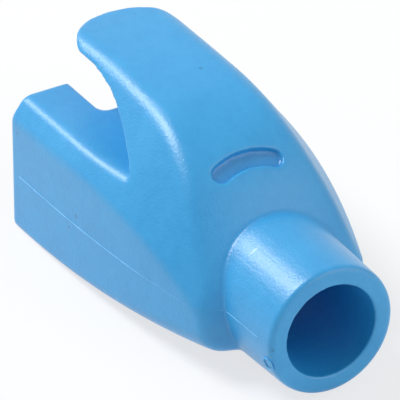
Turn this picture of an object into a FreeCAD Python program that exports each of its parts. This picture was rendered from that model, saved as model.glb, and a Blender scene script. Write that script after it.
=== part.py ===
import FreeCAD, Part
import math
import os

import Sketcher

# Strain relief boot for a modular plug, in millimetres.
# The cable axis is X: the plug mouth is at x = 0 and the cable leaves towards +X. Z is up.

SIZES = {
    # plug box
    "mouthHalf": 7.0,
    "roofHeight": 5.15,
    "mouthFloor": 3.55,
    "mouthCorner": 0.3,
    "hullTop": 10.0,
    # stations behind the mouth where the plan and the underside change
    "cheekX": 6.0,
    "cheekCorner": 0.4,
    "rootX": 13.5,
    "rootInset": 0.38,
    "rootFloor": 3.25,
    "rootCorner": 0.95,
    "tailX": 23.0,
    "tailInset": 2.0,
    "tailFloor": 2.55,
    "tailCorner": 1.8,
    # leaning flanks of the hood
    "roofEdgeRound": 0.9,
    "roofEdgeRoom": 0.01,
    "flankFootBendX": 2.0,
    "flankTailRoom": 1.0,
    "flankHeadHalf": 2.35,
    "flankHeadBendX": 9.5,
    "flankHeadRound": 26.0,
    # back line of the hood, down to the tail face
    "crestTop": 9.1,
    "crestPeakX": 5.0,
    "crestRound": 60.0,
    "crestEndX": 10.1,
    "browRound": 11.45,
    "tailBend": 6.75,
    "tailBendHeight": -2.2,
    "tailFaceX": 21.9,
    "crownDrop": 3.8,
    "crownSideRoom": 1.0,
    "ridgeRound": 1.5,
    "tailEdgeRound": 1.0,
    # hood
    "hoodGap": 3.2,
    "hoodRootX": 11.7,
    "hoodBendX": 3.4,
    "hoodTipX": -0.45,
    "hoodTipRound": 3.7,
    "lipRound": 0.2,
    # collar and bore
    "collarStartX": 9.5,
    "collarStartOuter": 3.55,
    "collarRootX": 19.0,
    "collarRootOuter": 4.35,
    "collarEndX": 25.5,
    "collarRimOuter": 4.2,
    "collarRimRound": 0.35,
    "boreWidth": 6.0,
    # plug pocket and latch slot
    "plugWidth": 11.7,
    "plugHeight": 6.6,
    "plugClearance": 0.1,
    "roofWall": 1.05,
    "pocketDepth": 10.5,
    "pocketCorner": 0.6,
    "latchSlotWidth": 6.1,
    "latchSlotDepth": 4.1,
    "latchSlotCorner": 0.6,
    # thumb mark on the ramp
    "markX": 16.1,
    "markHalf": 1.8,
    "markBow": 4.1,
    "markWidth": 1.15,
    "markDepth": 0.5,
    # tool allowance for the cuts
    "overrun": 4.0,
}

CLOSE = 0.02  # mm, how near a point must be to count as on a surface

doc = FreeCAD.newDocument("boot")
sheet = doc.addObject("Spreadsheet::Sheet", "sizes")
for row, (alias, number) in enumerate(SIZES.items(), start=1):
    sheet.set("A%d" % row, alias)
    sheet.set("B%d" % row, str(number))
    sheet.setAlias("B%d" % row, alias)
doc.recompute()


def size(alias):
    return float(sheet.get(alias))


def point(x, y):
    return FreeCAD.Vector(x, y, 0)


def attach(body, name, role, lift=None):
    """A sketch on one of the body's own planes, lifted along the plane's normal by an expression."""
    sketch = body.newObject("Sketcher::SketchObject", name)
    plane = [item for item in body.Origin.OriginFeatures if item.Role == role][0]
    sketch.AttachmentSupport = [(plane, "")]
    sketch.MapMode = "FlatFace"
    if lift:
        sketch.setExpression("AttachmentOffset.Base.z", lift)
    return sketch


def line(sketch, start, end):
    return sketch.addGeometry(Part.LineSegment(point(*start), point(*end)), False)


def arc(sketch, centre, radius, start, end):
    circle = Part.Circle(point(*centre), FreeCAD.Vector(0, 0, 1), radius)
    return sketch.addGeometry(Part.ArcOfCircle(circle, math.radians(start), math.radians(end)), False)


def tie(sketch, kind, *where):
    return sketch.addConstraint(Sketcher.Constraint(kind, *where))


def drive(sketch, kind, where, value, expression):
    index = sketch.addConstraint(Sketcher.Constraint(kind, *where, value))
    sketch.setExpression("Constraints[%d]" % index, expression)


def note(sketch, name, kind, *where):
    """A measured, not driving, dimension that other features read."""
    index = tie(sketch, kind, *where, 1)
    sketch.setDriving(index, False)
    sketch.renameConstraint(index, name)


def section(body, name, station, halfWidth, floor, corner):
    """One cross-section of the hull: upright sides over a floor with rounded corners."""
    sketch = attach(body, name, "YZ_Plane", station)
    (side, sideIs), depth, bottomRound, top = halfWidth, size(floor), size(corner), size("hullTop")
    flat = side - bottomRound
    base = line(sketch, (-flat, -depth), (flat, -depth))
    cornerR = arc(sketch, (flat, bottomRound - depth), bottomRound, -90, 0)
    sideR = line(sketch, (side, bottomRound - depth), (side, top))
    cap = line(sketch, (side, top), (-side, top))
    sideL = line(sketch, (-side, top), (-side, bottomRound - depth))
    cornerL = arc(sketch, (-flat, bottomRound - depth), bottomRound, 180, 270)
    tie(sketch, "Tangent", base, 2, cornerR, 1)
    tie(sketch, "Tangent", cornerR, 2, sideR, 1)
    tie(sketch, "Coincident", sideR, 2, cap, 1)
    tie(sketch, "Coincident", cap, 2, sideL, 1)
    tie(sketch, "Tangent", sideL, 2, cornerL, 1)
    tie(sketch, "Tangent", cornerL, 2, base, 1)
    tie(sketch, "Horizontal", base)
    tie(sketch, "Horizontal", cap)
    tie(sketch, "Vertical", sideR)
    tie(sketch, "Vertical", sideL)
    tie(sketch, "Equal", cornerR, cornerL)
    drive(sketch, "Radius", (cornerR,), bottomRound, "sizes.%s" % corner)
    drive(sketch, "DistanceX", (-1, 1, sideR, 1), side, sideIs)
    drive(sketch, "DistanceX", (sideL, 1, -1, 1), side, sideIs)
    drive(sketch, "DistanceY", (base, 1, -1, 1), depth, "sizes.%s" % floor)
    drive(sketch, "DistanceY", (-1, 1, cap, 1), top, "sizes.hullTop")
    return sketch


boot = doc.addObject("PartDesign::Body", "boot")
boot.Label = "boot"

mouthWidth = (size("mouthHalf"), "sizes.mouthHalf")
rootWidth = (size("mouthHalf") - size("rootInset"), "sizes.mouthHalf - sizes.rootInset")
tailWidth = (size("mouthHalf") - size("tailInset"), "sizes.mouthHalf - sizes.tailInset")
stations = [
    section(boot, "mouthSection", "-sizes.overrun / 2", mouthWidth, "mouthFloor", "mouthCorner"),
    section(boot, "cheekSection", "sizes.cheekX", mouthWidth, "mouthFloor", "cheekCorner"),
    section(boot, "rootSection", "sizes.rootX", rootWidth, "rootFloor", "rootCorner"),
    section(boot, "tailSection", "sizes.tailX", tailWidth, "tailFloor", "tailCorner"),
]
doc.recompute()
hull = boot.newObject("PartDesign::AdditiveLoft", "hull")
hull.Profile = stations[0]
hull.Sections = stations[1:]
doc.recompute()


def flankProfile(body, name, lift, half, bend, bow):
    """Outside of one flank in plan: straight from the mouth, then bowing in towards the tail."""
    sketch = attach(body, name, "XY_Plane", lift)
    front, wide = -size("overrun"), footHalf + size("overrun")
    (reach, reachIs), bendX, (radius, radiusIs) = half, size(bend), bow
    straight = line(sketch, (front, reach), (bendX, reach))
    curve = arc(sketch, (bendX, reach - radius), radius, 0, 90)
    rear = line(sketch, (bendX + radius, reach - radius), (bendX + radius, wide))
    outer = line(sketch, (bendX + radius, wide), (front, wide))
    close = line(sketch, (front, wide), (front, reach))
    tie(sketch, "Tangent", straight, 2, curve, 2)
    tie(sketch, "Tangent", curve, 1, rear, 1)
    tie(sketch, "Coincident", rear, 2, outer, 1)
    tie(sketch, "Coincident", outer, 2, close, 1)
    tie(sketch, "Coincident", close, 2, straight, 1)
    tie(sketch, "Horizontal", straight)
    tie(sketch, "Horizontal", outer)
    tie(sketch, "Vertical", rear)
    tie(sketch, "Vertical", close)
    drive(sketch, "DistanceY", (-1, 1, straight, 1), reach, reachIs)
    drive(sketch, "DistanceX", (straight, 1, -1, 1), -front, "sizes.overrun")
    drive(sketch, "DistanceX", (-1, 1, straight, 2), bendX, "sizes.%s" % bend)
    drive(sketch, "Radius", (curve,), radius, radiusIs)
    drive(sketch, "DistanceY", (-1, 1, outer, 1), wide, "%s + sizes.overrun" % footHalfIs)
    return sketch


def backProfile(body):
    """Everything above the hood's crest and behind the tail face, in the middle plane."""
    sketch = attach(body, "backProfile", "XZ_Plane")
    front, rear = -size("overrun"), size("tailX") + 2 * size("overrun")
    top, bottom = size("hullTop") + size("overrun"), -size("tailFloor") - size("overrun")
    crest, brow, bend = size("crestRound"), size("browRound"), size("tailBend")
    faceX = size("tailFaceX")
    crestX, crestZ = size("crestPeakX"), size("crestTop") - crest
    joinAngle = math.acos((size("crestEndX") - crestX) / crest)
    frontAngle = math.acos((front - crestX) / crest)
    browX = crestX + (crest - brow) * math.cos(joinAngle)
    browZ = crestZ + (crest - brow) * math.sin(joinAngle)
    bendX, bendZ = faceX - bend, size("tailBendHeight")
    apart = math.hypot(bendX - browX, bendZ - browZ)
    slope = math.atan2(bendZ - browZ, bendX - browX) + math.acos((brow - bend) / apart)
    slopeTop = (browX + brow * math.cos(slope), browZ + brow * math.sin(slope))
    slopeEnd = (bendX + bend * math.cos(slope), bendZ + bend * math.sin(slope))
    crestArc = arc(sketch, (crestX, crestZ), crest, math.degrees(joinAngle), math.degrees(frontAngle))
    browArc = arc(sketch, (browX, browZ), brow, math.degrees(slope), math.degrees(joinAngle))
    ramp = line(sketch, slopeTop, slopeEnd)
    bendArc = arc(sketch, (bendX, bendZ), bend, 0, math.degrees(slope))
    face = line(sketch, (faceX, bendZ), (faceX, bottom))
    under = line(sketch, (faceX, bottom), (rear, bottom))
    back = line(sketch, (rear, bottom), (rear, top))
    over = line(sketch, (rear, top), (front, top))
    close = line(sketch, (front, top), (front, crestZ + crest * math.sin(frontAngle)))
    tie(sketch, "Tangent", crestArc, 1, browArc, 2)
    tie(sketch, "Tangent", browArc, 1, ramp, 1)
    tie(sketch, "Tangent", ramp, 2, bendArc, 2)
    tie(sketch, "Tangent", bendArc, 1, face, 1)
    for first, second in ((face, under), (under, back), (back, over), (over, close)):
        tie(sketch, "Coincident", first, 2, second, 1)
    tie(sketch, "Coincident", close, 2, crestArc, 2)
    for upright in (face, back, close):
        tie(sketch, "Vertical", upright)
    for level in (under, over):
        tie(sketch, "Horizontal", level)
    drive(sketch, "DistanceX", (-1, 1, crestArc, 3), crestX, "sizes.crestPeakX")
    drive(sketch, "DistanceY", (crestArc, 3, -1, 1), -crestZ, "sizes.crestRound - sizes.crestTop")
    drive(sketch, "Radius", (crestArc,), crest, "sizes.crestRound")
    drive(sketch, "DistanceX", (-1, 1, crestArc, 1), size("crestEndX"), "sizes.crestEndX")
    drive(sketch, "Radius", (browArc,), brow, "sizes.browRound")
    drive(sketch, "Radius", (bendArc,), bend, "sizes.tailBend")
    drive(sketch, "DistanceX", (-1, 1, face, 2), faceX, "sizes.tailFaceX")
    drive(sketch, "DistanceY", (face, 2, face, 1), bendZ - bottom,
          "sizes.tailBendHeight + sizes.tailFloor + sizes.overrun")
    drive(sketch, "DistanceY", (under, 1, -1, 1), -bottom, "sizes.tailFloor + sizes.overrun")
    drive(sketch, "DistanceX", (-1, 1, back, 1), rear, "sizes.tailX + 2 * sizes.overrun")
    drive(sketch, "DistanceY", (-1, 1, over, 1), top, "sizes.hullTop + sizes.overrun")
    drive(sketch, "DistanceX", (over, 2, -1, 1), -front, "sizes.overrun")
    note(sketch, "browX", "DistanceX", -1, 1, browArc, 3)
    note(sketch, "browZ", "DistanceY", -1, 1, browArc, 3)
    return sketch


def crownPath(body):
    """The bow, from side to side, that crowns the tail face."""
    sketch = attach(body, "crownPath", "XY_Plane")
    drop, span = size("crownDrop"), size("mouthHalf") + size("crownSideRoom")
    radius = (span ** 2 + drop ** 2) / (2 * drop)
    reach = math.degrees(math.asin(span / radius))
    bow = arc(sketch, (-radius, 0), radius, -reach, reach)
    tie(sketch, "PointOnObject", -1, 1, bow)
    tie(sketch, "PointOnObject", bow, 3, -1)
    tie(sketch, "Vertical", bow, 1, bow, 2)
    drive(sketch, "DistanceX", (bow, 2, -1, 1), drop, "sizes.crownDrop")
    drive(sketch, "DistanceY", (-1, 1, bow, 2), span, "sizes.mouthHalf + sizes.crownSideRoom")
    return sketch


def hoodGapProfile(body):
    """The open space under the hood, and everything in front of the mouth below it."""
    sketch = attach(body, "hoodGapProfile", "XZ_Plane")
    front, roof = size("hoodTipX") - size("overrun"), size("roofHeight")
    under = roof + size("hoodGap")
    rootX, bendX, gap = size("hoodRootX"), size("hoodBendX"), size("hoodGap")
    low = -size("mouthFloor") - size("overrun")
    radius = ((rootX - bendX) ** 2 + gap ** 2) / (2 * gap)
    reach = math.degrees(math.asin((rootX - bendX) / radius))
    floor = line(sketch, (0, roof), (rootX, roof))
    throat = arc(sketch, (bendX, under - radius), radius, 90 - reach, 90)
    ceiling = line(sketch, (bendX, under), (front, under))
    outer = line(sketch, (front, under), (front, low))
    base = line(sketch, (front, low), (0, low))
    mouth = line(sketch, (0, low), (0, roof))
    tie(sketch, "Coincident", floor, 2, throat, 1)
    tie(sketch, "Tangent", throat, 2, ceiling, 1)
    tie(sketch, "Coincident", ceiling, 2, outer, 1)
    tie(sketch, "Coincident", outer, 2, base, 1)
    tie(sketch, "Coincident", base, 2, mouth, 1)
    tie(sketch, "Coincident", mouth, 2, floor, 1)
    for level in (floor, ceiling, base):
        tie(sketch, "Horizontal", level)
    for upright in (outer, mouth):
        tie(sketch, "Vertical", upright)
    tie(sketch, "PointOnObject", floor, 1, -2)
    drive(sketch, "DistanceY", (-1, 1, floor, 1), roof, "sizes.roofHeight")
    drive(sketch, "DistanceY", (floor, 1, ceiling, 1), gap, "sizes.hoodGap")
    drive(sketch, "DistanceX", (outer, 1, -1, 1), -front, "sizes.overrun - sizes.hoodTipX")
    drive(sketch, "DistanceX", (-1, 1, floor, 2), rootX, "sizes.hoodRootX")
    drive(sketch, "DistanceX", (-1, 1, throat, 2), bendX, "sizes.hoodBendX")
    drive(sketch, "DistanceY", (base, 1, -1, 1), -low, "sizes.mouthFloor + sizes.overrun")
    return sketch


def hoodTipProfile(body):
    """What the round tip of the hood leaves off, seen from above."""
    sketch = attach(body, "hoodTipProfile", "XY_Plane", "sizes.roofHeight + sizes.hoodGap / 2")
    front, wide = size("hoodTipX") - size("overrun"), size("mouthHalf") + size("overrun")
    radius = size("hoodTipRound")
    centre = size("hoodTipX") + radius
    nose = arc(sketch, (centre, 0), radius, 90, 270)
    right = line(sketch, (centre, -radius), (centre, -wide))
    lower = line(sketch, (centre, -wide), (front, -wide))
    close = line(sketch, (front, -wide), (front, wide))
    upper = line(sketch, (front, wide), (centre, wide))
    left = line(sketch, (centre, wide), (centre, radius))
    loop = [nose, right, lower, close, upper, left]
    for first, second in zip(loop, loop[1:]):
        tie(sketch, "Coincident", first, 2, second, 1)
    tie(sketch, "Coincident", left, 2, nose, 1)
    for upright in (right, close, left):
        tie(sketch, "Vertical", upright)
    for level in (lower, upper):
        tie(sketch, "Horizontal", level)
    tie(sketch, "PointOnObject", nose, 3, -1)
    tie(sketch, "Vertical", nose, 3, nose, 1)
    tie(sketch, "Vertical", nose, 3, nose, 2)
    drive(sketch, "Radius", (nose,), radius, "sizes.hoodTipRound")
    drive(sketch, "DistanceX", (-1, 1, nose, 3), centre, "sizes.hoodTipX + sizes.hoodTipRound")
    drive(sketch, "DistanceX", (close, 1, -1, 1), -front, "sizes.overrun - sizes.hoodTipX")
    drive(sketch, "DistanceY", (close, 1, -1, 1), wide, "sizes.mouthHalf + sizes.overrun")
    drive(sketch, "DistanceY", (-1, 1, close, 2), wide, "sizes.mouthHalf + sizes.overrun")
    return sketch


# the flanks meet the roof just inside its rounded edges, and their feet pass just outside the tail
roofHalf = size("mouthHalf") - size("roofEdgeRound") - size("roofEdgeRoom")
leanRatio = (size("hullTop") + size("mouthFloor")) / (size("hullTop") - size("roofHeight"))
footHalf = size("flankHeadHalf") + (roofHalf - size("flankHeadHalf")) * leanRatio
roofHalfIs = "sizes.mouthHalf - sizes.roofEdgeRound - sizes.roofEdgeRoom"
leanRatioIs = "(sizes.hullTop + sizes.mouthFloor) / (sizes.hullTop - sizes.roofHeight)"
footHalfIs = "sizes.flankHeadHalf + (%s - sizes.flankHeadHalf) * %s" % (roofHalfIs, leanRatioIs)
footDrop = footHalf - tailWidth[0] - size("flankTailRoom")
footReach = size("tailFaceX") - size("flankFootBendX")
footRound = (footReach ** 2 + footDrop ** 2) / (2 * footDrop)
footDropIs = "(%s - (%s) - sizes.flankTailRoom)" % (footHalfIs, tailWidth[1])
footReachIs = "(sizes.tailFaceX - sizes.flankFootBendX)"
footRoundIs = "(%s ^ 2 + %s ^ 2) / (2 * %s)" % (footReachIs, footDropIs, footDropIs)

flank = boot.newObject("PartDesign::SubtractiveLoft", "flank")
flank.Profile = flankProfile(boot, "flankFoot", "-sizes.mouthFloor", (footHalf, footHalfIs),
                             "flankFootBendX", (footRound, footRoundIs))
flank.Sections = [flankProfile(boot, "flankHead", "sizes.hullTop",
                               (size("flankHeadHalf"), "sizes.flankHeadHalf"), "flankHeadBendX",
                               (size("flankHeadRound"), "sizes.flankHeadRound"))]
flank.Ruled = True
doc.recompute()
flanks = boot.newObject("PartDesign::Mirrored", "flanks")
flanks.Originals = [flank]
middlePlane = [item for item in boot.Origin.OriginFeatures if item.Role == "XZ_Plane"][0]
flanks.MirrorPlane = (middlePlane, [""])
boot.Tip = flanks
doc.recompute()

profile = backProfile(boot)
path = crownPath(boot)
doc.recompute()
back = boot.newObject("PartDesign::SubtractivePipe", "back")
back.Profile = profile
back.Spine = path
back.Mode = "Fixed"
doc.recompute()

gapProfile = hoodGapProfile(boot)
def onBack(spot):
    """Whether a point lies on the crowned surface of the crest, ramp or tail face."""
    drop, span = size("crownDrop"), size("mouthHalf") + size("crownSideRoom")
    radius = (span ** 2 + drop ** 2) / (2 * drop)
    middle = FreeCAD.Vector(spot.x + radius - math.sqrt(radius ** 2 - spot.y ** 2), 0, spot.z)
    return profile.Shape.distToShape(Part.Vertex(middle))[0] < CLOSE


def rounding(name, base, radius, wanted):
    """Round the edges of the shape so far whose middle point is wanted."""
    names = []
    for number, edge in enumerate(base.Shape.Edges, start=1):
        if wanted(edge.valueAt((edge.FirstParameter + edge.LastParameter) / 2)):
            names.append("Edge%d" % number)
    fillet = boot.newObject("PartDesign::Fillet", name)
    fillet.Base = (base, names)
    fillet.setExpression("Radius", "sizes.%s" % radius)
    doc.recompute()
    return fillet


# edges that lie off the middle plane and above the roof are the two ridges
offMiddle = size("flankHeadHalf") / 2
ridge = rounding("ridge", back, "ridgeRound",
                 lambda mid: onBack(mid) and abs(mid.y) > offMiddle and mid.z > size("roofHeight"))

hoodGap = boot.newObject("PartDesign::Pocket", "hoodGap")
hoodGap.Profile = gapProfile
hoodGap.Midplane = True
hoodGap.Type = "Length"
hoodGap.setExpression("Length", "2 * sizes.mouthHalf + sizes.overrun")
doc.recompute()

tipProfile = hoodTipProfile(boot)
hoodTip = boot.newObject("PartDesign::Pocket", "hoodTip")
hoodTip.Profile = tipProfile
hoodTip.Reversed = True
hoodTip.Type = "Length"
hoodTip.setExpression("Length", "sizes.hullTop")
doc.recompute()


tailEdge = rounding("tailEdge", hoodTip, "tailEdgeRound",
                    lambda mid: onBack(mid) and mid.z < -size("tailFloor") / 2)
roofEdge = rounding("roofEdge", tailEdge, "roofEdgeRound",
                    lambda mid: abs(mid.z - size("roofHeight")) < CLOSE and abs(mid.y) > offMiddle
                    and CLOSE < mid.x < size("cheekX"))
mouthEdge = rounding("mouthEdge", roofEdge, "lipRound",
                     lambda mid: abs(mid.x) < CLOSE and mid.z < size("roofHeight") + CLOSE)


def collarProfile(body):
    """Half of the solid collar: it grows out of the body and ends in a rounded rim."""
    sketch = attach(body, "collarProfile", "XZ_Plane")
    startX, rootX, endX = size("collarStartX"), size("collarRootX"), size("collarEndX")
    startR, rootR, rimR = size("collarStartOuter"), size("collarRootOuter"), size("collarRimOuter")
    edge = size("collarRimRound")
    start = line(sketch, (startX, 0), (startX, startR))
    flare = line(sketch, (startX, startR), (rootX, rootR))
    sleeve = line(sketch, (rootX, rootR), (endX - edge, rimR))
    rim = arc(sketch, (endX - edge, rimR - edge), edge, 0, 90)
    face = line(sketch, (endX, rimR - edge), (endX, 0))
    axis = line(sketch, (endX, 0), (startX, 0))
    tie(sketch, "Coincident", start, 2, flare, 1)
    tie(sketch, "Coincident", flare, 2, sleeve, 1)
    tie(sketch, "Coincident", sleeve, 2, rim, 2)
    tie(sketch, "Vertical", rim, 3, rim, 2)
    tie(sketch, "Tangent", rim, 1, face, 1)
    tie(sketch, "Coincident", face, 2, axis, 1)
    tie(sketch, "Coincident", axis, 2, start, 1)
    tie(sketch, "Vertical", start)
    tie(sketch, "Vertical", face)
    tie(sketch, "Horizontal", axis)
    tie(sketch, "PointOnObject", axis, 1, -1)
    drive(sketch, "DistanceX", (-1, 1, start, 1), startX, "sizes.collarStartX")
    drive(sketch, "DistanceY", (start, 1, start, 2), startR, "sizes.collarStartOuter")
    drive(sketch, "DistanceX", (-1, 1, flare, 2), rootX, "sizes.collarRootX")
    drive(sketch, "DistanceY", (-1, 1, flare, 2), rootR, "sizes.collarRootOuter")
    drive(sketch, "DistanceX", (-1, 1, face, 2), endX, "sizes.collarEndX")
    drive(sketch, "DistanceY", (-1, 1, rim, 2), rimR, "sizes.collarRimOuter")
    drive(sketch, "Radius", (rim,), edge, "sizes.collarRimRound")
    return sketch


def markProfile(body):
    """The short bowed slot pressed into the ramp, drawn on the ramp's own slope."""
    sketch = attach(body, "markProfile", "XY_Plane")
    # this sets the axis of the turn; its angle is the slope of the brow, below
    turn = FreeCAD.Rotation(FreeCAD.Vector(0, 1, 0), 90)
    sketch.AttachmentOffset = FreeCAD.Placement(FreeCAD.Vector(), turn)
    tilt = "asin((sizes.markX * 1 mm - backProfile.Constraints.browX) / (sizes.browRound * 1 mm))"
    sketch.setExpression("AttachmentOffset.Base.x", "sizes.markX")
    sketch.setExpression("AttachmentOffset.Base.z",
                         "backProfile.Constraints.browZ + sizes.browRound * 1 mm * cos(%s)" % tilt)
    sketch.setExpression("AttachmentOffset.Rotation.Angle", tilt)
    bow, half, edge = size("markBow"), size("markHalf"), size("markWidth") / 2
    spread = math.degrees(math.asin(half / bow))
    centre = (math.sqrt(bow ** 2 - half ** 2), 0)
    outer = arc(sketch, centre, bow + edge, 180 - spread, 180 + spread)
    inner = arc(sketch, centre, bow - edge, 180 - spread, 180 + spread)
    left = arc(sketch, (0, half), edge, -spread, 180 - spread)
    right = arc(sketch, (0, -half), edge, 180 + spread, 360 + spread)
    tie(sketch, "Tangent", outer, 1, left, 2)
    tie(sketch, "Tangent", outer, 2, right, 1)
    tie(sketch, "Tangent", inner, 1, left, 1)
    tie(sketch, "Tangent", inner, 2, right, 2)
    tie(sketch, "Coincident", outer, 3, inner, 3)
    tie(sketch, "PointOnObject", outer, 3, -1)
    tie(sketch, "PointOnObject", left, 3, -2)
    tie(sketch, "PointOnObject", right, 3, -2)
    drive(sketch, "Radius", (outer,), bow + edge, "sizes.markBow + sizes.markWidth / 2")
    drive(sketch, "Radius", (left,), edge, "sizes.markWidth / 2")
    drive(sketch, "DistanceY", (-1, 1, left, 3), half, "sizes.markHalf")
    return sketch


def roundedBox(body, name, role, left, right, bottom, top, corner):
    """A closed rectangle with equal round corners; each side is given as (value, expression)."""
    sketch = attach(body, name, role)
    (x0, x0Is), (x1, x1Is), (y0, y0Is), (y1, y1Is), (r, rIs) = left, right, bottom, top, corner
    sides = [line(sketch, (x0 + r, y0), (x1 - r, y0)), line(sketch, (x1, y0 + r), (x1, y1 - r)),
             line(sketch, (x1 - r, y1), (x0 + r, y1)), line(sketch, (x0, y1 - r), (x0, y0 + r))]
    turns = [arc(sketch, (x1 - r, y0 + r), r, -90, 0), arc(sketch, (x1 - r, y1 - r), r, 0, 90),
             arc(sketch, (x0 + r, y1 - r), r, 90, 180), arc(sketch, (x0 + r, y0 + r), r, 180, 270)]
    for index in range(4):
        tie(sketch, "Tangent", sides[index], 2, turns[index], 1)
        tie(sketch, "Tangent", turns[index], 2, sides[(index + 1) % 4], 1)
    for other in turns[1:]:
        tie(sketch, "Equal", turns[0], other)
    tie(sketch, "Horizontal", sides[0])
    tie(sketch, "Horizontal", sides[2])
    tie(sketch, "Vertical", sides[1])
    tie(sketch, "Vertical", sides[3])
    drive(sketch, "Radius", (turns[0],), r, rIs)
    drive(sketch, "DistanceX", (sides[3], 1, -1, 1), -x0, x0Is)
    drive(sketch, "DistanceX", (-1, 1, sides[1], 1), x1, x1Is)
    drive(sketch, "DistanceY", (sides[0], 1, -1, 1), -y0, y0Is)
    drive(sketch, "DistanceY", (-1, 1, sides[2], 1), y1, y1Is)
    return sketch


collar = boot.newObject("PartDesign::Revolution", "collar")
collar.Profile = collarProfile(boot)
axis = [item for item in boot.Origin.OriginFeatures if item.Role == "X_Axis"][0]
collar.ReferenceAxis = (axis, [""])
collar.Angle = 360
doc.recompute()

mark = boot.newObject("PartDesign::Pocket", "mark")
mark.Profile = markProfile(boot)
mark.Type = "Length"
mark.setExpression("Length", "sizes.markDepth")
doc.recompute()

room = size("plugWidth") / 2 + size("plugClearance") / 2
roomIs = "sizes.plugWidth / 2 + sizes.plugClearance / 2"
pocketTop = size("roofHeight") - size("roofWall")
pocketDrop = size("plugHeight") + size("plugClearance") - pocketTop
pocketDropIs = "sizes.plugHeight + sizes.plugClearance - sizes.roofHeight + sizes.roofWall"
plugPocket = boot.newObject("PartDesign::Pocket", "plugPocket")
plugPocket.Profile = roundedBox(boot, "pocketProfile", "YZ_Plane", (-room, roomIs), (room, roomIs),
                                (-pocketDrop, pocketDropIs), (pocketTop, "sizes.roofHeight - sizes.roofWall"),
                                (size("pocketCorner"), "sizes.pocketCorner"))
plugPocket.Type = "Length"
plugPocket.Reversed = True
plugPocket.setExpression("Length", "sizes.pocketDepth")
doc.recompute()

slotHalf = size("latchSlotWidth") / 2
latchSlot = boot.newObject("PartDesign::Pocket", "latchSlot")
latchSlot.Profile = roundedBox(boot, "slotProfile", "XY_Plane",
                               (-size("overrun"), "sizes.overrun"),
                               (size("latchSlotDepth"), "sizes.latchSlotDepth"),
                               (-slotHalf, "sizes.latchSlotWidth / 2"),
                               (slotHalf, "sizes.latchSlotWidth / 2"),
                               (size("latchSlotCorner"), "sizes.latchSlotCorner"))
latchSlot.Type = "Length"
latchSlot.Reversed = True
latchSlot.setExpression("Length", "sizes.roofHeight + sizes.hoodGap / 2")
doc.recompute()


def boreProfile(body):
    """The cable hole, drawn at the collar's rim."""
    sketch = attach(body, "boreProfile", "YZ_Plane", "sizes.collarEndX")
    ring = Part.Circle(point(0, 0), FreeCAD.Vector(0, 0, 1), size("boreWidth") / 2)
    circle = sketch.addGeometry(ring, False)
    tie(sketch, "Coincident", circle, 3, -1, 1)
    drive(sketch, "Diameter", (circle,), size("boreWidth"), "sizes.boreWidth")
    return sketch


bore = boot.newObject("PartDesign::Pocket", "bore")
bore.Profile = boreProfile(boot)
bore.Type = "Length"
bore.setExpression("Length", "sizes.collarEndX - sizes.pocketDepth")
doc.recompute()

boot.setExpression("Placement.Base.x", "-sizes.collarEndX")
doc.recompute()
for item in doc.Objects:
    if "Invalid" in item.State or "Error" in item.State:
        raise RuntimeError("%s did not build" % item.Name)
if boot.Shape.isNull() or not boot.Shape.isValid() or len(boot.Shape.Solids) != 1:
    raise RuntimeError("the boot is not one valid solid")

os.makedirs("parts", exist_ok=True)
boot.Shape.exportStep("parts/boot.step")
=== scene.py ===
import math
import bpy
from mathutils import Matrix, Vector


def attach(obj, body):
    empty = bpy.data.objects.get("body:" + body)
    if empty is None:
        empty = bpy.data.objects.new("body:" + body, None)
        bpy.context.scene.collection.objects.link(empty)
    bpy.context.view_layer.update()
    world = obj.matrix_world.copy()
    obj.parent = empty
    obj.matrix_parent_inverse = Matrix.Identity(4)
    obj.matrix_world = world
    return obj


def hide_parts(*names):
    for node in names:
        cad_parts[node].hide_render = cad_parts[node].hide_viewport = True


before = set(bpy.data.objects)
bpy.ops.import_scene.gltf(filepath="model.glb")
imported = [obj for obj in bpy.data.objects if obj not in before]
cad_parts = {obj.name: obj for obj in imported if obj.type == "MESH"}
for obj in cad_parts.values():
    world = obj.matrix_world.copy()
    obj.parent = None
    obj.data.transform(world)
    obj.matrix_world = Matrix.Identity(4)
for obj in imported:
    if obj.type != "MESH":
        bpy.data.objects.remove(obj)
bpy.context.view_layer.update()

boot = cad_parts["boot"]


def nodesOf(owner):
    owner.use_nodes = True
    owner.node_tree.nodes.clear()
    return owner.node_tree


# 1 where a ray comes straight from the camera, off a mirror or through glass
def seenDirectly(tree):
    paths = tree.nodes.new("ShaderNodeLightPath")
    highest = paths.outputs["Is Camera Ray"]
    for other in ("Is Glossy Ray", "Is Transmission Ray"):
        larger = tree.nodes.new("ShaderNodeMath")
        larger.operation = "MAXIMUM"
        tree.links.new(highest, larger.inputs[0])
        tree.links.new(paths.outputs[other], larger.inputs[1])
        highest = larger.outputs["Value"]
    return highest


# lengths are in metres, and the scuff's place and reach are in the boot's own coordinates
vinyl = {
    "colour": (0.030, 0.348, 0.712, 1), "darker": (0.020, 0.312, 0.668, 1),
    "seamTint": (0.16, 0.50, 0.82, 1),
    "mottleSize": 0.0032, "mottleDetail": 3, "fineSize": 0.00055, "fineDetail": 2,
    "fineShare": 0.4, "darkerBelow": 0.36, "colourAbove": 0.62,
    "speckColour": (0.010, 0.130, 0.33, 1), "speckSize": 0.00085, "speckShare": 0.035,
    "speckCore": 0.10, "speckEdge": 0.20, "speckStrength": 0.55,
    "scuffColour": (0.42, 0.68, 0.88, 1), "scuffPlace": (-0.0050, -0.00228, 0.00364),
    "scuffReach": (0.00010, 0.00048, 0.00014), "scuffTurn": 33,
    "scuffCore": 0.3, "scuffEdge": 1.0, "scuffStrength": 0.7,
    # painted shade: the deeper blue and its share darken the folds and creases where shade
    # falls
    "creaseShadeColour": (0.004, 0.130, 0.470, 1), "creaseShadeShare": 0.42,
    "creaseLow": 0.440, "creaseHigh": 0.496,
    "grainSize": 0.00016, "grainDetail": 3, "grainDepth": 0.00006, "grainStrength": 0.4,
    "roughness": 0.36, "glossChange": 0.12, "glossDetail": 2, "sheen": 0.62,
    "bloom": 0.22, "bloomRoughness": 0.30,  # the faint frosted coat
}


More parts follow.
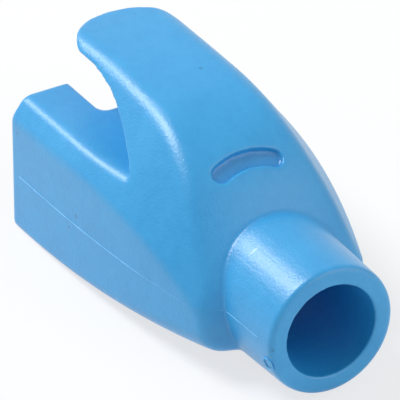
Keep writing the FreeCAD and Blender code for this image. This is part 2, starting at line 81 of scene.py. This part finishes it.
def makeVinyl(name, pale, dull, creaseShaded=False):
    material = bpy.data.materials.new(name)
    tree = nodesOf(material)
    add, link = tree.nodes.new, tree.links.new
    out, shader = add("ShaderNodeOutputMaterial"), add("ShaderNodeBsdfPrincipled")
    link(shader.outputs["BSDF"], out.inputs["Surface"])
    place = add("ShaderNodeTexCoord")

    def noise(size, detail):
        cloud = add("ShaderNodeTexNoise")
        cloud.inputs["Scale"].default_value = 1 / size
        cloud.inputs["Detail"].default_value = detail
        link(place.outputs["Object"], cloud.inputs["Vector"])
        return cloud.outputs["Fac"]

    def fadeOut(value, start, end, strength):
        fade = add("ShaderNodeMapRange")
        fade.inputs["From Min"].default_value = start
        fade.inputs["From Max"].default_value = end
        fade.inputs["To Min"].default_value = strength
        fade.inputs["To Max"].default_value = 0.0
        link(value, fade.inputs["Value"])
        return fade.outputs["Result"]

    # a Mix node's colours are its sockets 6 and 7, and its numbers are 2 and 3
    def tint(share, under, colour):
        layer = add("ShaderNodeMix")
        layer.data_type = "RGBA"
        link(share, layer.inputs[0])
        link(under, layer.inputs[6])
        layer.inputs[7].default_value = colour
        return layer.outputs[2]

    # broad and fine clouding of the colour
    mottle = add("ShaderNodeMix")
    mottle.data_type = "FLOAT"
    mottle.inputs[0].default_value = vinyl["fineShare"]
    link(noise(vinyl["mottleSize"], vinyl["mottleDetail"]), mottle.inputs[2])
    link(noise(vinyl["fineSize"], vinyl["fineDetail"]), mottle.inputs[3])
    ramp = add("ShaderNodeValToRGB")
    low, high = ramp.color_ramp.elements
    low.position, low.color = vinyl["darkerBelow"], dull
    high.position, high.color = vinyl["colourAbove"], pale
    link(mottle.outputs[0], ramp.inputs["Fac"])

    # a few small dark specks of dust
    cells = add("ShaderNodeTexVoronoi")
    cells.inputs["Scale"].default_value = 1 / vinyl["speckSize"]
    link(place.outputs["Object"], cells.inputs["Vector"])
    cellColour = add("ShaderNodeSeparateColor")
    link(cells.outputs["Color"], cellColour.inputs["Color"])
    chosen = add("ShaderNodeMath")
    chosen.operation = "LESS_THAN"
    chosen.inputs[1].default_value = vinyl["speckShare"]
    link(cellColour.outputs["Red"], chosen.inputs[0])
    dot = fadeOut(cells.outputs["Distance"], vinyl["speckCore"], vinyl["speckEdge"],
                  vinyl["speckStrength"])
    speck = add("ShaderNodeMath")
    speck.operation = "MULTIPLY"
    link(chosen.outputs["Value"], speck.inputs[0])
    link(dot, speck.inputs[1])
    paint = tint(speck.outputs["Value"], ramp.outputs["Color"], vinyl["speckColour"])

    # one short pale scratch near the top of the collar
    scratch = add("ShaderNodeMapping")
    scratch.vector_type = "TEXTURE"
    scratch.inputs["Location"].default_value = vinyl["scuffPlace"]
    scratch.inputs["Rotation"].default_value = (math.radians(vinyl["scuffTurn"]), 0, 0)
    scratch.inputs["Scale"].default_value = vinyl["scuffReach"]
    link(place.outputs["Object"], scratch.inputs["Vector"])
    distance = add("ShaderNodeVectorMath")
    distance.operation = "LENGTH"
    link(scratch.outputs["Vector"], distance.inputs[0])
    scuff = fadeOut(distance.outputs["Value"], vinyl["scuffCore"], vinyl["scuffEdge"],
                    vinyl["scuffStrength"])
    paint = tint(scuff, paint, vinyl["scuffColour"])

    # painted shade: the folds and creases are darkened towards a deeper blue
    if creaseShaded:
        creaseShade = add("ShaderNodeAttribute")
        creaseShade.attribute_name = "creaseShade"
        creaseShadeMask = fadeOut(creaseShade.outputs["Fac"], vinyl["creaseLow"], vinyl["creaseHigh"],
                       vinyl["creaseShadeShare"])
        paint = tint(creaseShadeMask, paint, vinyl["creaseShadeColour"])
    link(paint, shader.inputs["Base Color"])

    # fine moulded grain, and a gloss that changes a little from place to place
    bump = add("ShaderNodeBump")
    bump.inputs["Strength"].default_value = vinyl["grainStrength"]
    bump.inputs["Distance"].default_value = vinyl["grainDepth"]
    link(noise(vinyl["grainSize"], vinyl["grainDetail"]), bump.inputs["Height"])
    link(bump.outputs["Normal"], shader.inputs["Normal"])
    gloss = add("ShaderNodeMapRange")
    gloss.inputs["To Min"].default_value = vinyl["roughness"] - vinyl["glossChange"] / 2
    gloss.inputs["To Max"].default_value = vinyl["roughness"] + vinyl["glossChange"] / 2
    link(noise(vinyl["mottleSize"], vinyl["glossDetail"]), gloss.inputs["Value"])
    link(gloss.outputs["Result"], shader.inputs["Roughness"])
    shader.inputs["Specular IOR Level"].default_value = vinyl["sheen"]
    shader.inputs["Coat Weight"].default_value = vinyl["bloom"]
    shader.inputs["Coat Roughness"].default_value = vinyl["bloomRoughness"]
    return material


mergeReach = 0.000001


# the boot's mesh comes as loose triangles, so the copy's points are merged;
# the copy is left in edit mode, all selected
def copyBoot(name):
    bpy.ops.object.select_all(action="DESELECT")
    wasHidden = boot.hide_viewport
    boot.hide_viewport = False
    boot.select_set(True)
    bpy.context.view_layer.objects.active = boot
    bpy.ops.object.duplicate()
    boot.hide_viewport = wasHidden
    piece = bpy.context.object
    piece.name = name
    piece.hide_viewport = False
    piece.hide_render = False
    bpy.ops.object.mode_set(mode="EDIT")
    bpy.ops.mesh.select_all(action="SELECT")
    bpy.ops.mesh.remove_doubles(threshold=mergeReach)
    bpy.ops.mesh.select_all(action="SELECT")
    return piece


def applyModifier(piece, name, kind, **values):
    modifier = piece.modifiers.new(name, kind)
    for key, value in values.items():
        setattr(modifier, key, value)
    bpy.ops.object.modifier_apply(modifier=modifier.name)


skin = {
    "voxel": 0.00008, "softenPasses": 26, "softenShare": 0.5,
    "keep": 0.25,  # the share of faces left
    "lipEnd": -0.0135, "lipLow": 0.0056, "lipHigh": 0.0088, "lipInside": 0.0028,
    "lipPasses": 45, "creaseBlur": 16,
    "creaseAngle": 60, "cleanAngle": 180,  # degrees
}


def makeSkin():
    piece = copyBoot("bootSkin")
    bpy.ops.object.mode_set(mode="OBJECT")
    applyModifier(piece, "evenSkin", "REMESH", mode="VOXEL", voxel_size=skin["voxel"],
                  use_smooth_shade=True)
    applyModifier(piece, "softEdges", "SMOOTH", iterations=skin["softenPasses"],
                  factor=skin["softenShare"])

    # the thin lips of the hood's open sides are rounded a little more
    lips = piece.vertex_groups.new(name="hoodLips")
    lipSpots = [spot.index for spot in piece.data.vertices
                if spot.co.x < skin["lipEnd"] and skin["lipLow"] < spot.co.z < skin["lipHigh"]
                and abs(spot.co.y) > skin["lipInside"]]
    lips.add(lipSpots, 1.0, "REPLACE")
    applyModifier(piece, "roundLips", "SMOOTH", iterations=skin["lipPasses"],
                  factor=skin["softenShare"], vertex_group=lips.name)
    piece.vertex_groups.clear()
    applyModifier(piece, "fewerFaces", "DECIMATE", ratio=skin["keep"])

    # painted shade: folds and creases are darkened to a deeper blue where shade falls, and how
    # deep each one is goes on the mesh as a colour
    bpy.ops.geometry.color_attribute_add(name="creaseShade", domain="CORNER",
                                         data_type="BYTE_COLOR", color=(1, 1, 1, 1))
    bpy.ops.paint.vertex_color_dirt(blur_strength=1.0, blur_iterations=skin["creaseBlur"],
                                    clean_angle=math.radians(skin["cleanAngle"]),
                                    dirt_angle=math.radians(skin["creaseAngle"]),
                                    dirt_only=True, normalize=False)
    piece.data.materials.clear()
    piece.data.materials.append(makeVinyl("softBlueVinyl", vinyl["colour"], vinyl["darker"],
                                          creaseShaded=True))
    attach(piece, "root")
    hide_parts("boot")
    return piece


print("boot skin")
bootSkin = makeSkin()
print("skin faces", len(bootSkin.data.polygons))

seam = {
    "height": 0.0002, "thickness": 0.00004, "sides": 2,
    "mouthEnd": -0.0253, "rimEnd": -0.0005, "collarStart": -0.015,
    "wallHalf": 0.0063, "collarHalf": 0.0035,  # points nearer the middle go
    "fadeStart": -0.0125, "fadeLength": 0.003, "collarLimit": 0.0046,
    "faint": 0.12, "onCollar": 0.7,  # shares of the thickness
    "smoothAngle": 60,
    "gatePlace": (-0.00054, -0.00402, -0.00122), "gateRadius": 0.00042,
    "gateThickness": 0.00008, "gateSegments": 28, "gateSides": 8,
    "gateRagged": 0.00003, "gateSeed": 4,
}


def makeSeam():
    piece = copyBoot("partingSeam")

    # only the outline where the mould's halves met is kept, as a thin round line
    bpy.ops.mesh.bisect(plane_co=(0, 0, seam["height"]), plane_no=(0, 0, 1),
                        clear_inner=True, clear_outer=True)
    bpy.ops.mesh.select_all(action="DESELECT")
    bpy.ops.object.mode_set(mode="OBJECT")
    for spot in piece.data.vertices:
        limit = seam["wallHalf"] if spot.co.x < seam["collarStart"] else seam["collarHalf"]
        inOpening = spot.co.x < seam["mouthEnd"] or spot.co.x > seam["rimEnd"]
        spot.select = abs(spot.co.y) < limit or inOpening
    bpy.ops.object.mode_set(mode="EDIT")
    bpy.ops.mesh.delete(type="VERT")
    bpy.ops.object.mode_set(mode="OBJECT")
    piece.data.materials.clear()
    bpy.ops.object.convert(target="CURVE")
    curve = piece.data
    curve.bevel_depth = seam["thickness"]
    curve.bevel_resolution = seam["sides"]
    curve.use_fill_caps = True
    for spline in curve.splines:
        for spot in spline.points:
            onCollar = abs(spot.co.y) < seam["collarLimit"]
            least = seam["onCollar"] if onCollar else seam["faint"]
            fade = (seam["fadeStart"] + seam["fadeLength"] - spot.co.x) / seam["fadeLength"]
            spot.radius = max(least, min(1.0, fade))
    bpy.ops.object.convert(target="MESH")
    piece = bpy.context.object

    # the ragged ring left where the gate was cut off
    bpy.ops.object.select_all(action="DESELECT")
    outwards = Vector((0, seam["gatePlace"][1], seam["gatePlace"][2]))
    bpy.ops.mesh.primitive_torus_add(location=seam["gatePlace"],
                                     rotation=outwards.to_track_quat("Z", "Y").to_euler(),
                                     major_radius=seam["gateRadius"],
                                     minor_radius=seam["gateThickness"],
                                     major_segments=seam["gateSegments"],
                                     minor_segments=seam["gateSides"])
    bpy.ops.object.mode_set(mode="EDIT")
    bpy.ops.mesh.select_all(action="SELECT")
    bpy.ops.transform.vertex_random(offset=seam["gateRagged"], seed=seam["gateSeed"])
    bpy.ops.object.mode_set(mode="OBJECT")
    bpy.ops.object.transform_apply(location=True, rotation=True, scale=True)
    piece.select_set(True)
    bpy.context.view_layer.objects.active = piece
    bpy.ops.object.join()
    piece.data.materials.clear()
    piece.data.materials.append(makeVinyl("seamVinyl", vinyl["seamTint"], vinyl["colour"]))
    bpy.ops.object.shade_smooth_by_angle(angle=math.radians(seam["smoothAngle"]))
    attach(piece, "root")
    return piece


print("parting seam")
partingSeam = makeSeam()
print("seam faces", len(partingSeam.data.polygons))

# the boot's underside slopes, so the floor is turned to meet it at both ends
floor = {"half": 0.4, "frontX": -0.0255, "frontDrop": 0.00358, "rearX": -0.0065,
         "rearDrop": 0.00438, "colour": (0.86, 0.87, 0.88, 1), "whiteShare": 0.72}

print("floor")
bpy.ops.object.select_all(action="DESELECT")
slope = math.atan2(floor["rearDrop"] - floor["frontDrop"], floor["rearX"] - floor["frontX"])
bpy.ops.mesh.primitive_plane_add(size=2 * floor["half"], rotation=(0, slope, 0),
                                 location=(floor["frontX"], 0, -floor["frontDrop"]))
ground = bpy.context.object
ground.name = "floor"
groundPaint = bpy.data.materials.new("paleFloor")
tree = nodesOf(groundPaint)
groundShader = tree.nodes.new("ShaderNodeBsdfDiffuse")
groundShader.inputs["Color"].default_value = floor["colour"]
groundGlow = tree.nodes.new("ShaderNodeEmission")
groundShare = tree.nodes.new("ShaderNodeMath")
groundShare.operation = "MULTIPLY"
groundShare.inputs[1].default_value = floor["whiteShare"]
groundMix = tree.nodes.new("ShaderNodeMixShader")
groundOut = tree.nodes.new("ShaderNodeOutputMaterial")
tree.links.new(seenDirectly(tree), groundShare.inputs[0])
tree.links.new(groundShare.outputs["Value"], groundMix.inputs["Fac"])
tree.links.new(groundShader.outputs["BSDF"], groundMix.inputs[1])
tree.links.new(groundGlow.outputs["Emission"], groundMix.inputs[2])
tree.links.new(groundMix.outputs["Shader"], groundOut.inputs["Surface"])
ground.data.materials.append(groundPaint)

surroundings = {"colour": (1.0, 1.0, 1.0, 1), "strength": 0.30, "seenStrength": 1.0}

print("white surroundings")
studio = bpy.data.worlds.new("softStudio")
bpy.context.scene.world = studio
tree = nodesOf(studio)
light = tree.nodes.new("ShaderNodeBackground")
light.inputs["Color"].default_value = surroundings["colour"]
light.inputs["Strength"].default_value = surroundings["strength"]
white = tree.nodes.new("ShaderNodeBackground")
white.inputs["Strength"].default_value = surroundings["seenStrength"]
mix = tree.nodes.new("ShaderNodeMixShader")
studioOut = tree.nodes.new("ShaderNodeOutputWorld")
tree.links.new(seenDirectly(tree), mix.inputs["Fac"])
tree.links.new(light.outputs["Background"], mix.inputs[1])
tree.links.new(white.outputs["Background"], mix.inputs[2])
tree.links.new(mix.outputs["Shader"], studioOut.inputs["Surface"])

view = {"target": (-0.015115, 0.0, 0.001208), "distance": 0.585, "nearest": 0.01,
        "azimuth": 30.28, "elevation": 31.03, "roll": -0.64, "lens": 884.8}
lamps = {
    "keyLamp": {"place": (-0.20, -0.20, 0.42), "size": 0.22, "watts": 1.65},
    "ridgeLamp": {"place": (-0.37, -0.15, 0.30), "size": 0.18, "watts": 0.70},
    "sideLamp": {"place": (0.30, 0.20, 0.16), "size": 0.50, "watts": 0.72},
}

print("lamps")
for name, lamp in lamps.items():
    data = bpy.data.lights.new(name, "AREA")
    data.shape = "DISK"
    data.size = lamp["size"]
    data.energy = lamp["watts"]
    bulb = bpy.data.objects.new(name, data)
    bpy.context.scene.collection.objects.link(bulb)
    bulb.location = lamp["place"]
    aim = Vector(view["target"]) - bulb.location
    bulb.rotation_euler = aim.to_track_quat("-Z", "Y").to_euler()

print("camera")
azimuth, elevation, roll = (math.radians(view[key]) for key in ("azimuth", "elevation", "roll"))
level = math.cos(elevation)
back = Vector((level * math.cos(azimuth), -level * math.sin(azimuth), math.sin(elevation)))
side = Vector((0, 0, 1)).cross(back).normalized()
up = back.cross(side)
turnedSide = math.cos(roll) * side + math.sin(roll) * up
turnedUp = math.cos(roll) * up - math.sin(roll) * side
turned = Matrix((turnedSide, turnedUp, back)).transposed().to_4x4()
stand = Vector(view["target"]) + view["distance"] * back
camera = bpy.data.objects.new("camera", bpy.data.cameras.new("camera"))
bpy.context.scene.collection.objects.link(camera)
camera.matrix_world = Matrix.Translation(stand) @ turned
camera.data.lens = view["lens"]
camera.data.clip_start = view["nearest"]
bpy.context.scene.camera = camera
bpy.context.scene.view_settings.view_transform = "Standard"
